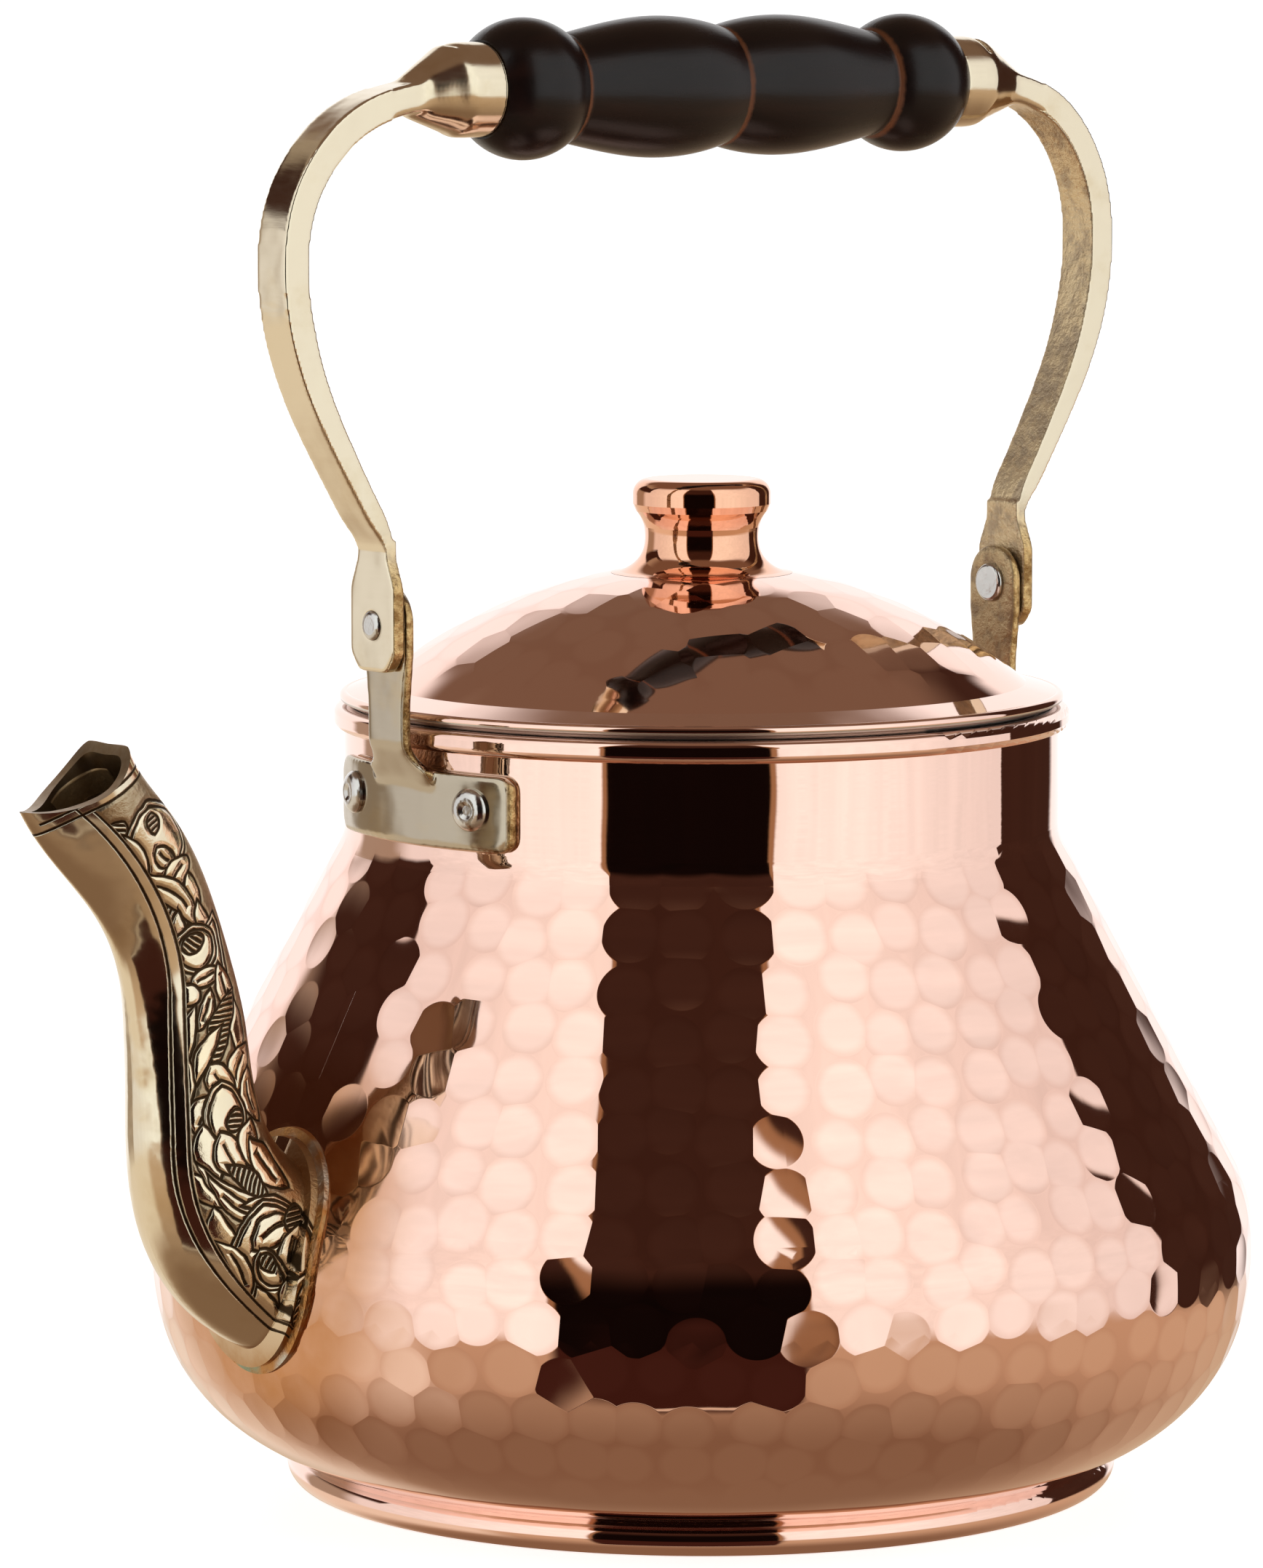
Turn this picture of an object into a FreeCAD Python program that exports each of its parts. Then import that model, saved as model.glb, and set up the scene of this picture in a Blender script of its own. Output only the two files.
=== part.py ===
import FreeCAD, Part
import math
import os

V = FreeCAD.Vector
os.makedirs("parts", exist_ok=True)

# ---- driving sizes, millimetres ----
# vessel
sheet = 1.2
foot_radius = 72.2
foot_height = 5.4
foot_cove = 0.9
foot_step = 0.3
foot_sheet = 1.6
foot_heel = 1.4
foot_bead_drop = 0.5
foot_bevel = 2.0
seam_lip = 1.9
belly_radius = 95.65
belly_height = 43.0
belly_turn_out = 0.87
belly_turn_up = 0.28
belly_swell_out = 0.967
belly_swell_up = 0.56
belly_start_pull = V(30, 0, 11)
shoulder_pull = 14.0
shoulder_inset = 3.25
shoulder_rise = 12.5
neck_radius = 61.7
neck_rise = 22.3
neck_fillet = 8.0
rim_high = 134.7
rim_band = 3.8
rim_overhang = 1.8
rim_inside = 2.0
rim_corner = 1.3
rim_wire_radius = 0.95
roll_slit = 0.3
roll_wall = 0.3

# spout
spout_wall = 2.0
spout_base_rise = 5.5
spout_lip_drop = 4.5
spout_mouth_sag = 3.4
beak_notch = 0.45
flange_half_height = 19.0
flange_half_width = 15.5
flange_thickness = 2.0
solder_spread = 1.3
solder_thickness = 0.8
inlet_radius = 9.5
inlet_rise = 1.5

# brackets
plate_thickness = 2.1
plate_half_angle = 22.0
plate_height = 13.3
plate_drop = 3.0
plate_corner = 2.6
plate_bend = 5.0
tongue_thickness = 2.2
tongue_low_width = 10.4
tongue_top_width = 12.4
tongue_root_fillet = 4.0
tongue_bend = 4.0
tongue_inner_bend = 3.0
tongue_bend_rise = 0.8
tongue_bend_drop = 2.4
tongue_flare_start = 14.0
tongue_flare_end = 5.0
tongue_flare_low = 14.0
tongue_flare_high = 12.0
tongue_end_flat = 0.4
rivet_angle = 15.0
rivet_lift = 0.7
rivet_shank = 2.0
rivet_head_radius = 3.6
rivet_head_height = 1.5
rivet_dimple = 1.5
rivet_pit = 0.4
rivet_tail = 0.9

# bail
pivot_rise = 17.3
pivot_shank = 2.0
pivot_inner_head = 3.4
pivot_outer_head = 2.5
pivot_inner_rise = 0.9
pivot_outer_rise = 0.5
pivot_head_bevel = 0.6
tongue_over_pivot = 6.6
tab_thickness = 2.3
tab_width = 12.4
tab_drop = 7.8
tab_corner_rise = 3.0
tab_side_corner = 2.6
tab_end_corner = 2.4
tab_end_share = 0.62
tab_shoulder_slope = 5.0
tab_shoulder_fillet = 4.0
tab_rise = 14.5
tab_shoulder_rise = 6.5
bar_width = 8.2
bar_low_thickness = 3.2
bar_thickness = 5.0
bail_rise = 88.8
bail_bow = 18.7
grip_offset = 3.0
grip_half = 50.0
grip_bead_radius = 12.0
grip_bead_inset = 8.7
grip_groove_radius = 9.2
grip_groove_width = 0.9
grip_swell_share = 0.48
grip_middle_radius = 10.2
ferrule_radius = 8.0
ferrule_length = 6.5
ferrule_taper = 9.5
ferrule_small_radius = 3.4
ferrule_droop = 0.12
bar_end_drop = 0.6
bar_bury = 1.5
tenon_radius = 5.6
tenon_length = 4.0
tie_rod_radius = 2.0
tie_rod_reach = 8.5

# lid
brim_inset = 1.0
brim_thickness = 1.7
brim_lift = 0.7
brim_width = 6.5
brim_fall = 1.5
brim_roll = 1.2
dome_rise = 20.1
collar_sheet = 1.0
collar_depth = 10.5
collar_corner = 0.4
knob_foot_radius = 15.7
knob_waist_radius = 9.8
knob_cap_radius = 11.9
knob_height = 14.8
knob_cap_height = 5.9
knob_corner = 2.6
knob_neck_rise = 3.3
knob_flare_rise = 1.2
knob_flare_share = 0.42
knob_waist_swell = 0.6
knob_waist_drop = 4.1
knob_throat_drop = 2.4
knob_throat_swell = 0.15
knob_cap_undercut = 0.5
knob_cap_lip = 1.6
screw_radius = 2.5
screw_head_radius = 5.0
screw_head_height = 2.4
screw_bite = 8.0
slot_width = 1.2
slot_depth = 1.1
screw_edge = 0.8
washer_radius = 8.5
washer_thickness = 1.0

# clearances
shank_gap = 0.05
turn_gap = 0.2
head_gap = 0.05
lap_gap = 0.02
wood_gap = 0.05
seat_gap = 0.05
collar_gap = 0.5
tongue_gap = 1.7
end_gap = 0.2
bend_gap = 0.15
overrun = 3.0

# ---- sizes that follow ----
seam_radius = foot_radius - foot_cove - foot_step
shoulder_radius = belly_radius - shoulder_inset
shoulder_height = belly_height + shoulder_rise
neck_height = rim_high - neck_rise
shoulder_slope = (shoulder_radius - neck_radius) / (neck_height - shoulder_height)
rim_low = rim_high - rim_band
rim_radius = neck_radius + rim_overhang
rim_inner = neck_radius - rim_inside
flange_height = belly_height + spout_base_rise
inlet_height = flange_height + inlet_rise
plate_high = rim_low - plate_drop
plate_low = plate_high - plate_height
bend_room = (plate_low - bend_gap - neck_height) / math.tan(math.atan(shoulder_slope) / 2)
neck_bend = min(neck_fillet, bend_room)
rivet_height = (plate_low + plate_high) / 2 + rivet_lift
plate_inner = neck_radius + lap_gap
plate_outer = plate_inner + plate_thickness
tongue_inner = rim_radius + tongue_gap
tongue_outer = tongue_inner + tongue_thickness
pivot_height = rim_high + pivot_rise
tongue_top = pivot_height + tongue_over_pivot
tab_inner = tongue_outer + turn_gap
tab_outer = tab_inner + tab_thickness
tab_top = pivot_height + tab_rise
tab_shoulder = pivot_height + tab_shoulder_rise
grip_height = pivot_height + bail_rise
grip_bead_centre = grip_half - grip_bead_inset
brim_radius = rim_radius - brim_inset
brim_height = rim_high + brim_lift
brim_top = brim_height + brim_thickness
dome_foot_radius = brim_radius - brim_width
dome_sphere = (dome_foot_radius ** 2 + dome_rise ** 2) / (2 * dome_rise)
dome_top = brim_top + brim_fall + dome_rise
dome_centre = dome_top - dome_sphere
collar_radius = rim_inner - collar_gap
knob_top = dome_top + knob_height
knob_cap_low = knob_top - knob_cap_height


def line(a, b):
    return Part.LineSegment(a, b).toShape()


def arc(a, middle, b):
    return Part.Arc(a, middle, b).toShape()


def curve(points, start=None, end=None):
    spline = Part.BSplineCurve()
    if start is None:
        spline.interpolate(points)
    else:
        spline.interpolate(points, InitialTangent=start, FinalTangent=end)
    return spline


def soft_outline(points, radii):
    """Closed outline with a tangent arc of the given radius at each corner."""
    edges = []
    last = None
    first = None
    count = len(points)
    for i in range(count):
        corner = points[i]
        before = (points[i - 1] - corner).normalize()
        after = (points[(i + 1) % count] - corner).normalize()
        radius = radii[i]
        if radius <= 0:
            enter = corner
            leave = corner
        else:
            half = before.getAngle(after) / 2
            reach = radius / math.tan(half)
            enter = corner + before * reach
            leave = corner + after * reach
            inward = (before + after).normalize()
            middle = corner + inward * (radius / math.sin(half) - radius)
        if last is not None and (last - enter).Length > 1e-6:
            edges.append(line(last, enter))
        if first is None:
            first = enter
        if radius > 0:
            edges.append(arc(enter, middle, leave))
        last = leave
    if (last - first).Length > 1e-6:
        edges.append(line(last, first))
    return Part.Wire(edges)


def turned(wire, centre=V(0, 0, 0), axis=V(0, 0, 1)):
    return Part.Face(wire).revolve(centre, axis, 360)


def prism(wire, reach):
    return Part.Face(wire).extrude(reach)


def grown(spline, grow):
    first, last = spline.FirstParameter, spline.LastParameter
    points = []
    for i in range(13):
        at = first + (last - first) * i / 12
        along = spline.getD1(at)[1].normalize()
        points.append(spline.value(at) + V(along.z, 0, -along.x) * grow)
    return curve(points)


def save(name, shape):
    shape.exportStep(os.path.join("parts", name + ".step"))


# ---- vessel ----
def belly_curve():
    low = V(seam_radius, 0, foot_height)
    turn = V(belly_radius * belly_turn_out, 0, belly_height * belly_turn_up)
    swell = V(belly_radius * belly_swell_out, 0, belly_height * belly_swell_up)
    wide = V(belly_radius, 0, belly_height)
    shoulder = V(shoulder_radius, 0, shoulder_height)
    leaving = V(-shoulder_slope * shoulder_pull, 0, shoulder_pull)
    return curve([low, turn, swell, wide, shoulder], belly_start_pull, leaving)


def filled_body(grow, top, lip):
    belly = belly_curve()
    if grow:
        belly = grown(belly, grow)
    first, last = belly.FirstParameter, belly.LastParameter
    low = belly.value(first)
    high = belly.value(last)
    radius = neck_radius + grow
    bend = neck_bend - grow
    corner_height = high.z + (high.x - radius) / shoulder_slope
    reach = bend * math.tan(math.atan(shoulder_slope) / 2)
    leaning = (high - V(radius, 0, corner_height)).normalize()
    enter = V(radius, 0, corner_height) + leaning * reach
    leave = V(radius, 0, corner_height + reach)
    centre = V(radius + bend, 0, leave.z)
    middle = centre + ((enter + leave) * 0.5 - centre).normalize() * bend
    edges = [belly.toShape(), line(high, enter), arc(enter, middle, leave)]
    edges.append(line(leave, V(radius, 0, top)))
    edges.append(line(V(radius, 0, top), V(0, 0, top)))
    foot = min(low.z, foot_height)
    edges.append(line(V(0, 0, top), V(0, 0, foot - 1)))
    edges.append(line(V(0, 0, foot - 1), V(seam_radius - lip, 0, foot - 1)))
    edges.append(line(V(seam_radius - lip, 0, foot - 1), V(seam_radius - lip, 0, low.z)))
    if (V(seam_radius - lip, 0, low.z) - low).Length > 1e-6:
        edges.append(line(V(seam_radius - lip, 0, low.z), low))
    return turned(Part.Wire(edges))


def radial_hole(radius, angle, height):
    hole = Part.makeCylinder(radius, belly_radius, V(0, 0, height), V(1, 0, 0))
    hole.rotate(V(0, 0, 0), V(0, 0, 1), angle)
    return hole


def bracket_rivet_angles(side):
    middle = 180 if side < 0 else 0
    return [middle - rivet_angle, middle + rivet_angle]


def body_shell():
    outside = filled_body(0, rim_high - rim_corner, 0)
    inside = filled_body(-sheet, rim_high + 1, seam_lip)
    band = soft_outline([V(rim_inner, 0, rim_low), V(rim_radius, 0, rim_low),
                         V(rim_radius, 0, rim_high), V(rim_inner, 0, rim_high)], [rim_corner] * 4)
    trimmed = outside.cut(Part.makeCylinder(belly_radius * 2, foot_height))
    shell = trimmed.cut(inside).fuse(turned(band))
    wire_at = (rim_inner + rim_radius) / 2
    wire_up = (rim_low + rim_high) / 2
    tunnel = Part.makeTorus(wire_at, rim_wire_radius + lap_gap, V(0, 0, wire_up))
    slit_at = neck_radius + roll_wall
    slit_tall = wire_up - rim_low + 1
    slit_in = Part.makeCylinder(slit_at, slit_tall, V(0, 0, rim_low - 1))
    slit_out = Part.makeCylinder(slit_at + roll_slit, slit_tall, V(0, 0, rim_low - 1))
    shell = shell.cut(tunnel).cut(slit_out.cut(slit_in))
    inlet = Part.makeCylinder(inlet_radius, belly_radius * 2, V(0, 0, inlet_height), V(-1, 0, 0))
    shell = shell.cut(inlet)
    for side in (-1, 1):
        for angle in bracket_rivet_angles(side):
            shell = shell.cut(radial_hole(rivet_shank + shank_gap, angle, rivet_height))
    return shell.removeSplitter()


def base_pan():
    wall_in = seam_radius - seam_lip
    bead_top = foot_height - foot_bead_drop
    edges = [line(V(0, 0, 0), V(foot_radius - foot_heel, 0, 0))]
    edges.append(arc(V(foot_radius - foot_heel, 0, 0), V(foot_radius, 0, foot_height / 2),
                     V(foot_radius - foot_cove, 0, bead_top)))
    edges.append(line(V(foot_radius - foot_cove, 0, bead_top), V(seam_radius, 0, foot_height)))
    edges.append(line(V(seam_radius, 0, foot_height), V(wall_in, 0, foot_height)))
    edges.append(line(V(wall_in, 0, foot_height), V(wall_in, 0, foot_sheet + foot_bevel)))
    edges.append(line(V(wall_in, 0, foot_sheet + foot_bevel), V(wall_in - foot_bevel, 0, foot_sheet)))
    edges.append(line(V(wall_in - foot_bevel, 0, foot_sheet), V(0, 0, foot_sheet)))
    edges.append(line(V(0, 0, foot_sheet), V(0, 0, 0)))
    return turned(Part.Wire(edges))


def rim_wire():
    return Part.makeTorus((rim_inner + rim_radius) / 2, rim_wire_radius, V(0, 0, (rim_low + rim_high) / 2))


# ---- spout: stations from the belly to the lip ----
# distance out from the belly, share of the rise, lean from level in degrees, half depth, half width, beak
spout_stations = [
    (-15.6, -0.03, 12.0, 17.0, 14.0, 0.0),
    (-2.6, 0.005, 22.0, 16.2, 13.4, 0.0),
    (5.9, 0.1, 52.0, 14.6, 12.2, 0.0),
    (10.7, 0.26, 80.0, 12.0, 10.2, 0.0),
    (12.7, 0.485, 84.0, 10.6, 8.3, 0.0),
    (16.0, 0.67, 72.0, 9.6, 7.5, 0.05),
    (22.0, 0.82, 60.0, 9.9, 8.2, 0.12),
    (28.2, 0.925, 57.0, 9.4, 8.9, 0.28),
    (33.0, 1.025, 60.0, 8.8, 9.2, 0.46),
]


def spout_section(station, shrink, push):
    out, share, lean, depth, width, beak = station
    turn = math.radians(lean)
    height = flange_height + (rim_high - spout_lip_drop - flange_height) * share
    along = V(-math.cos(turn), 0, math.sin(turn))
    across = V(-math.sin(turn), 0, -math.cos(turn))
    centre = V(-belly_radius - out, 0, height) + along * push
    deep = depth - shrink
    wide = width - shrink
    point = deep + depth * beak
    notch = deep * (1 - beak_notch * beak)
    spots = [(point, 0), (deep * 0.74, wide * 0.66), (0.06 * deep, wide), (-deep * 0.74, wide * 0.74)]
    spots.append((-notch, 0))
    spots += [(-deep * 0.74, -wide * 0.74), (0.06 * deep, -wide), (deep * 0.74, -wide * 0.66)]
    ring = Part.BSplineCurve()
    ring.interpolate([centre + across * a + V(0, b, 0) for a, b in spots], PeriodicFlag=True)
    return Part.Wire(ring.toShape())


def spout_outside():
    return Part.makeLoft([spout_section(s, 0, 0) for s in spout_stations], True)


def mouth_hollow():
    out, share, lean, depth, width, beak = spout_stations[-1]
    turn = math.radians(lean)
    height = flange_height + (rim_high - spout_lip_drop - flange_height) * share
    along = V(-math.cos(turn), 0, math.sin(turn))
    across = V(-math.sin(turn), 0, -math.cos(turn))
    front = depth * (1 + beak)
    back = depth * (1 - beak_notch * beak)
    half = (front + back) / 2
    radius = (half ** 2 + spout_mouth_sag ** 2) / (2 * spout_mouth_sag)
    centre = V(-belly_radius - out, -belly_radius, height) + across * (front - half)
    centre = centre + along * (radius - spout_mouth_sag)
    return Part.makeCylinder(radius, belly_radius * 2, centre, V(0, 1, 0))


def spout():
    channel = [spout_section(spout_stations[0], spout_wall, -overrun)]
    channel += [spout_section(s, spout_wall, 0) for s in spout_stations]
    channel.append(spout_section(spout_stations[-1], spout_wall, overrun))
    bore = Part.makeLoft(channel, True)
    flange = flange_band(0, flange_thickness)
    pipe = spout_outside().cut(filled_body(0, neck_height, 0)).fuse(flange)
    return pipe.cut(bore).cut(mouth_hollow()).removeSplitter()


def flange_band(spread, thickness):
    ring = Part.Ellipse(V(0, 0, 0), flange_half_height + spread, flange_half_width + spread)
    face = Part.Face(Part.Wire(ring.toShape()))
    face.rotate(V(0, 0, 0), V(0, 1, 0), -90)
    face.translate(V(-belly_radius * 0.6, 0, flange_height))
    column = face.extrude(V(-belly_radius, 0, 0))
    skin = filled_body(thickness, neck_height, 0).cut(filled_body(0, neck_height, 0))
    return column.common(skin)


def spout_solder():
    band = flange_band(solder_spread, solder_thickness)
    return band.cut(flange_band(0, flange_thickness)).cut(spout_outside())


# ---- brackets, their rivets and the pivots (built on +X, turned for the spout side) ----
def placed(shape, side):
    if side < 0:
        shape.rotate(V(0, 0, 0), V(0, 0, 1), 180)
    return shape


def bracket(side):
    inner = plate_inner
    outer = plate_outer
    half = outer * math.sin(math.radians(plate_half_angle))
    tall = plate_high - plate_low
    ring = Part.makeCylinder(outer, tall, V(0, 0, plate_low))
    ring = ring.cut(Part.makeCylinder(inner, tall, V(0, 0, plate_low)))
    low = tongue_low_width / 2
    top = tongue_top_width / 2
    flare_low = pivot_height - tongue_flare_start
    flare_high = pivot_height - tongue_flare_end
    round_end = top - tongue_end_flat
    outline = soft_outline(
        [V(0, -half, plate_low), V(0, half, plate_low), V(0, half, plate_high), V(0, low, plate_high),
         V(0, low, flare_low), V(0, top, flare_high), V(0, top, tongue_top), V(0, -top, tongue_top),
         V(0, -top, flare_high), V(0, -low, flare_low), V(0, -low, plate_high), V(0, -half, plate_high)],
        [plate_corner, plate_corner, plate_corner, tongue_root_fillet, tongue_flare_low, tongue_flare_high,
         round_end, round_end, tongue_flare_high, tongue_flare_low, tongue_root_fillet, plate_corner])
    shape = prism(outline, V(belly_radius, 0, 0))
    sunk = inner + plate_thickness / 4
    foot = plate_low + plate_height * 0.375
    bend_high = rim_low + tongue_bend_rise
    slab = soft_outline(
        [V(sunk, 0, foot), V(outer, 0, foot), V(outer, 0, plate_high - tongue_bend_drop),
         V(tongue_outer, 0, bend_high), V(tongue_outer, 0, tongue_top + 1),
         V(tongue_inner, 0, tongue_top + 1), V(tongue_inner, 0, bend_high),
         V(sunk, 0, plate_high - tongue_bend_drop / 2)],
        [0, 0, plate_bend, tongue_bend, 0, 0, tongue_inner_bend, plate_bend])
    slab_half = low + tongue_root_fillet - 1
    strap = prism(slab, V(0, slab_half * 2, 0))
    strap.translate(V(0, -slab_half, 0))
    round_off = Part.makeCylinder(belly_radius, plate_height, V(0, 0, plate_high - plate_height))
    round_off = round_off.cut(Part.makeCylinder(outer, plate_height, V(0, 0, plate_high - plate_height)))
    round_off.translate(V(0, 0, -tongue_bend_drop))
    strap = strap.cut(round_off)
    body = ring.fuse(strap).common(shape)
    for angle in (-rivet_angle, rivet_angle):
        body = body.cut(radial_hole(rivet_shank + shank_gap, angle, rivet_height))
    hole = Part.makeCylinder(pivot_shank + shank_gap, belly_radius, V(0, 0, pivot_height), V(1, 0, 0))
    return placed(body.cut(hole).removeSplitter(), side)


def rivet(angle):
    face = plate_outer
    tail = neck_radius - sheet - rivet_tail
    dome_edge = rivet_head_height * 0.3
    wave = math.sqrt(face * face - rivet_head_radius * rivet_head_radius) - 0.1
    edges = [line(V(0, 0, tail), V(rivet_shank, 0, tail))]
    edges.append(line(V(rivet_shank, 0, tail), V(rivet_shank, 0, wave)))
    edges.append(line(V(rivet_shank, 0, wave), V(rivet_head_radius, 0, wave)))
    edges.append(line(V(rivet_head_radius, 0, wave), V(rivet_head_radius, 0, face + dome_edge)))
    dome_middle = V(rivet_head_radius * 0.8, 0, face + rivet_head_height * 0.8)
    edges.append(arc(V(rivet_head_radius, 0, face + dome_edge), dome_middle,
                     V(rivet_dimple, 0, face + rivet_head_height)))
    pit = face + rivet_head_height - rivet_pit
    edges.append(line(V(rivet_dimple, 0, face + rivet_head_height), V(rivet_dimple * 0.55, 0, pit)))
    edges.append(line(V(rivet_dimple * 0.55, 0, pit), V(0, 0, pit)))
    edges.append(line(V(0, 0, pit), V(0, 0, tail)))
    pin = turned(Part.Wire(edges))
    pin.rotate(V(0, 0, 0), V(0, 1, 0), 90)
    pin.translate(V(0, 0, rivet_height))
    ring = Part.makeCylinder(face + lap_gap, 20, V(0, 0, rivet_height - 10))
    core = Part.makeCylinder(rivet_shank, belly_radius, V(0, 0, rivet_height), V(1, 0, 0))
    pin = pin.cut(ring.cut(core))
    pin.rotate(V(0, 0, 0), V(0, 0, 1), angle)
    return pin


def bracket_rivets(side):
    return Part.Compound([rivet(angle) for angle in bracket_rivet_angles(side)])


def pivot_rivet(side):
    start = tongue_inner - head_gap
    end = tab_outer + head_gap
    back = start - pivot_inner_rise
    edges = [line(V(0, 0, back), V(pivot_inner_head - pivot_head_bevel, 0, back))]
    edges.append(arc(V(pivot_inner_head - pivot_head_bevel, 0, back),
                     V(pivot_inner_head - pivot_head_bevel / 4, 0, start - pivot_inner_rise * 0.7),
                     V(pivot_inner_head, 0, start)))
    edges.append(line(V(pivot_inner_head, 0, start), V(pivot_shank, 0, start)))
    edges.append(line(V(pivot_shank, 0, start), V(pivot_shank, 0, end)))
    edges.append(line(V(pivot_shank, 0, end), V(pivot_outer_head, 0, end)))
    flat = pivot_outer_head * 0.5
    crown = V(pivot_outer_head * 0.84, 0, end + pivot_outer_rise * 0.7)
    edges.append(arc(V(pivot_outer_head, 0, end), crown, V(flat, 0, end + pivot_outer_rise)))
    edges.append(line(V(flat, 0, end + pivot_outer_rise), V(0, 0, end + pivot_outer_rise)))
    edges.append(line(V(0, 0, end + pivot_outer_rise), V(0, 0, back)))
    pin = turned(Part.Wire(edges))
    pin.rotate(V(0, 0, 0), V(0, 1, 0), 90)
    pin.translate(V(0, 0, pivot_height))
    return placed(pin, side)


# ---- bail ----
def mouth(side):
    return grip_half + side * grip_offset


def bar_half(height, first, last):
    if height < first:
        return tab_thickness / 2
    if height < last:
        part = (height - first) / (last - first)
        return (bar_low_thickness + (bar_thickness - bar_low_thickness) * part) / 2
    return bar_thickness / 2


# share of the bow, share of the rise; then share of the way in to the ferrule, share of the rise
bow_shares = [(0.02, 0.155), (0.14, 0.203), (0.45, 0.315), (0.772, 0.45), (0.949, 0.574), (1.0, 0.687)]
crown_shares = [(0.95, 0.792), (0.78, 0.892), (0.61, 0.943), (0.365, 0.979)]


def arm_bar(side):
    middle = (tab_inner + tab_outer) / 2
    end = mouth(side) + ferrule_length + bar_bury
    widest = middle + bail_bow
    spots = [(middle, pivot_height + tab_rise * 0.7)]
    spots += [(middle + bail_bow * a, pivot_height + bail_rise * b) for a, b in bow_shares]
    spots += [(end + (widest - end) * a, pivot_height + bail_rise * b) for a, b in crown_shares]
    spots.append((end, grip_height - bar_end_drop))
    centre = curve([V(x, 0, z) for x, z in spots])
    first, last = centre.FirstParameter, centre.LastParameter
    outer = []
    inner = []
    for i in range(25):
        at = first + (last - first) * i / 24
        along = centre.getD1(at)[1].normalize()
        here = centre.value(at)
        half = bar_half(here.z, tab_top, pivot_height + bail_rise * 0.54)
        outer.append(here + V(along.z, 0, -along.x) * half)
        inner.append(here - V(along.z, 0, -along.x) * half)
    edges = [curve(outer).toShape(), line(outer[-1], inner[-1])]
    edges += [curve(inner).toShape(), line(inner[0], outer[0])]
    bar = prism(Part.Wire(edges), V(0, bar_width, 0))
    bar.translate(V(0, -bar_width / 2, 0))
    return bar


def arm(side):
    bar = arm_bar(side)
    half = tab_width / 2
    narrow = bar_width / 2
    low = pivot_height - tab_drop
    side_low = low + tab_corner_rise
    neck = tab_shoulder + tab_shoulder_slope
    outline = soft_outline(
        [V(0, -half, side_low), V(0, -half * tab_end_share, low), V(0, half * tab_end_share, low),
         V(0, half, side_low),
         V(0, half, tab_shoulder), V(0, narrow, neck), V(0, narrow, tab_top),
         V(0, -narrow, tab_top), V(0, -narrow, neck), V(0, -half, tab_shoulder)],
        [tab_side_corner, tab_end_corner, tab_end_corner, tab_side_corner, tab_shoulder_fillet,
         tab_shoulder_fillet, 0, 0, tab_shoulder_fillet, tab_shoulder_fillet])
    tab = prism(outline, V(tab_thickness, 0, 0))
    tab.translate(V(tab_inner, 0, 0))
    start = mouth(side)
    cup = Part.makeCylinder(ferrule_radius, ferrule_length, V(start, 0, grip_height), V(1, 0, 0))
    cone = Part.makeCone(ferrule_radius, ferrule_small_radius, ferrule_taper,
                         V(start + ferrule_length, 0, grip_height), V(1, 0, -ferrule_droop))
    mouth_at = V(start, 0, grip_height)
    out = V(1, 0, 0)
    open_end = Part.makeCylinder(ferrule_radius * 2, overrun, mouth_at - out * overrun, out)
    body = bar.fuse(tab).fuse(cup).fuse(cone.cut(open_end))
    socket = Part.makeCylinder(tenon_radius + wood_gap, tenon_length + end_gap, mouth_at, out)
    rod = Part.makeCylinder(tie_rod_radius + lap_gap, tie_rod_reach + end_gap, mouth_at, out)
    hole = Part.makeCylinder(pivot_shank + shank_gap, belly_radius, V(0, 0, pivot_height), V(1, 0, 0))
    body = body.cut(socket).cut(rod).cut(hole)
    return placed(body.removeSplitter(), side)


def grip():
    def at(x, radius):
        return V(x, 0, radius)
    edge = math.sqrt(grip_bead_radius ** 2 - (grip_half - grip_bead_centre) ** 2)
    groove_cut = math.sqrt(grip_bead_radius ** 2 - grip_groove_radius ** 2)
    bead_in = grip_bead_centre - groove_cut
    bead = arc(at(grip_half, edge), at(grip_bead_centre, grip_bead_radius), at(bead_in, grip_groove_radius))
    groove = bead_in - grip_groove_width
    step = line(at(bead_in, grip_groove_radius), at(groove, grip_groove_radius))
    crest = groove * grip_swell_share
    rise = grip_bead_radius - grip_groove_radius
    fall = grip_bead_radius - grip_middle_radius
    climb = at((groove + crest) / 2, grip_groove_radius + rise * 0.61)
    dip = at(crest * 0.36, grip_middle_radius + fall * 0.72)
    swell = curve([at(groove, grip_groove_radius), climb, at(crest, grip_bead_radius), dip,
                   at(0, grip_middle_radius)]).toShape()
    half = [bead, step, swell]
    end = tenon_length
    half.append(line(at(0, grip_middle_radius), at(0, tie_rod_radius + wood_gap)))
    half.append(line(at(0, tie_rod_radius + wood_gap), at(grip_half + end, tie_rod_radius + wood_gap)))
    half.append(line(at(grip_half + end, tie_rod_radius + wood_gap), at(grip_half + end, tenon_radius)))
    half.append(line(at(grip_half + end, tenon_radius), at(grip_half, tenon_radius)))
    half.append(line(at(grip_half, tenon_radius), at(grip_half, edge)))
    right = turned(Part.Wire(half), V(0, 0, 0), V(1, 0, 0))
    left = right.mirror(V(0, 0, 0), V(1, 0, 0))
    whole = right.fuse(left).removeSplitter()
    whole.translate(V(grip_offset, 0, grip_height))
    return whole


def tie_rod():
    reach = grip_half + tie_rod_reach
    return Part.makeCylinder(tie_rod_radius, reach * 2, V(grip_offset - reach, 0, grip_height), V(1, 0, 0))


# ---- lid ----
def on_dome(radius, grow):
    sphere = dome_sphere + grow
    return V(radius, 0, dome_centre + math.sqrt(sphere * sphere - radius * radius))


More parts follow.
